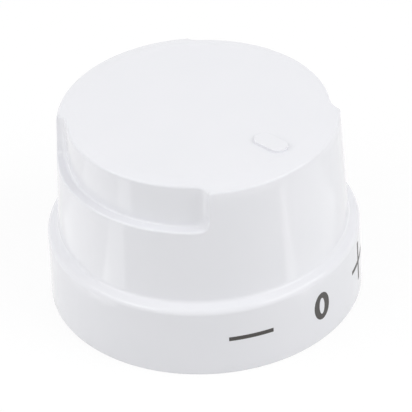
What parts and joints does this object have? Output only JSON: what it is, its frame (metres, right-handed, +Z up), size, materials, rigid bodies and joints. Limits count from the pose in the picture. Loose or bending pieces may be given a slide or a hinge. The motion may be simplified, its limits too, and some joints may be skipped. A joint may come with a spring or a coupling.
{
  "type": "thermostat knob",
  "caption": "White moulded push-on control knob with a stepped skirt, opposite recessed finger grips, a raised index and minus, zero and plus marks.",
  "frame": {"origin": "centre of the skirt's rim, on the surface that the knob stands on", "axes": "+Z up the turning axis to the top, the index and the zero mark towards -Y, the finger grips towards +X and -X"},
  "size_m": [0.042, 0.042, 0.0278],
  "materials": {
    "white_plastic": "glossy as moulded",
    "spring_steel": "bright rolled strip"
  },
  "bodies": {
    "root": {"knob_body": "white_plastic", "hub_spring_ring": "spring_steel"}
  },
  "joints": []
}
